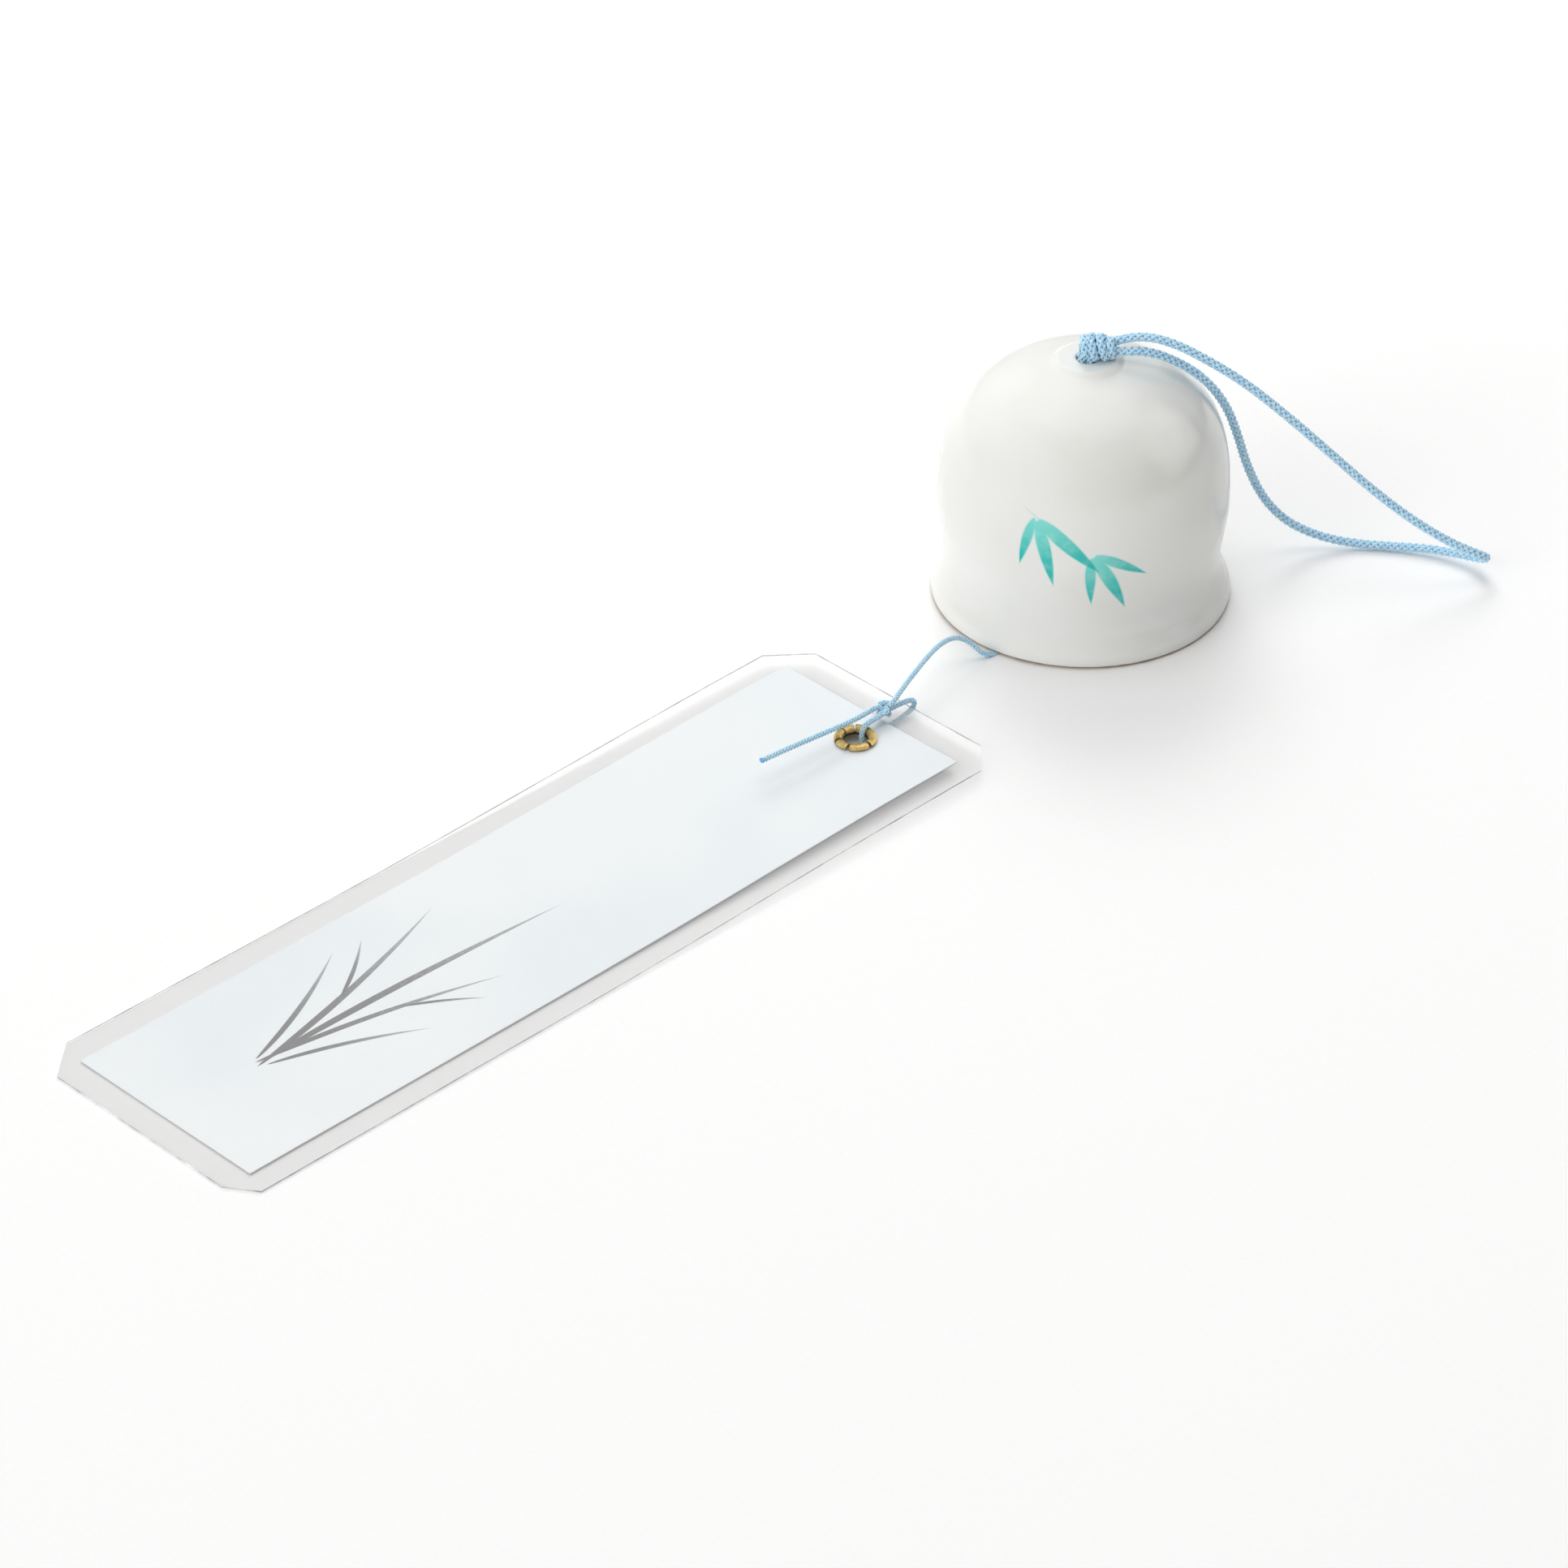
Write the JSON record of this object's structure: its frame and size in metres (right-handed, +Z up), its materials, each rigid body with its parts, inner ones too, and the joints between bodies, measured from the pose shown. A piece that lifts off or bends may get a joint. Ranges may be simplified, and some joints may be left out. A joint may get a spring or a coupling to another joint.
{
  "type": "wind bell",
  "caption": "Small porcelain wind bell standing on a table, with a braided hanging loop, a clapper inside and a laminated paper wind strip tied to the clapper's cord.",
  "frame": {"origin": "on the table under the middle of the bell's foot ring", "axes": "+Z up along the bell, the paper strip along -X from the bell, the hanging loop laid out between +X and -Y"},
  "size_m": [0.3235, 0.0888, 0.0613],
  "materials": {
    "bell_glaze": "white porcelain under clear gloss glaze, bare tan foot ring",
    "hanger_cord": "sky blue lustrous braided cord",
    "thin_cord": "sky blue thin braided cord",
    "clapper_glaze": "white porcelain, clear gloss glaze",
    "paper": "pale blue matt paper",
    "film": "clear laminating film, slightly milky",
    "eyelet_brass": "bright brass, lightly tarnished in the splits"
  },
  "bodies": {
    "bell": {"bell_shell": "bell_glaze", "hanger_knot": "hanger_cord", "hanger_neck": "hanger_cord", "inner_knot": "hanger_cord", "slack_cord": "thin_cord", "pinched_cord": "thin_cord"},
    "hanger": {"hanger_loop": "hanger_cord"},
    "clapper_line": {"clapper_cord": "thin_cord", "stop_knot": "thin_cord"},
    "clapper": {"clapper": "clapper_glaze"},
    "tag_line": {"tag_cord": "thin_cord"},
    "tag": {"tag_knot": "thin_cord", "tag_loop": "thin_cord", "tag_tail": "thin_cord", "paper_strip": "paper", "front_film": "film", "back_film": "film", "eyelet": "eyelet_brass"}
  },
  "joints": [
    {"name": "hanger_lift", "type": "hinge", "parent": "bell", "child": "hanger", "pos_m": [0.00177, -0.00134, 0.05847], "axis": [-0.7071, -0.7071, 0], "range_deg": [0, 115]},
    {"name": "clapper_swing", "type": "hinge", "parent": "bell", "child": "clapper_line", "pos_m": [0.00035, 0, 0.04917], "axis": [0, 1, 0], "range_deg": [-32, 32]},
    {"name": "clapper_spin", "type": "hinge", "parent": "clapper_line", "child": "clapper", "pos_m": [0.00035, 0, 0.01417], "axis": [0, 0, 1], "continuous": true},
    {"name": "tag_sweep", "type": "hinge", "parent": "bell", "child": "tag_line", "pos_m": [-0.0318, -0.0047, 0.00062], "axis": [0, 0, 1], "range_deg": [-30, 30]},
    {"name": "tag_lift", "type": "hinge", "parent": "tag_line", "child": "tag", "pos_m": [-0.066, -0.0082, 0.00475], "axis": [0, 1, 0], "range_deg": [0, 60]}
  ]
}
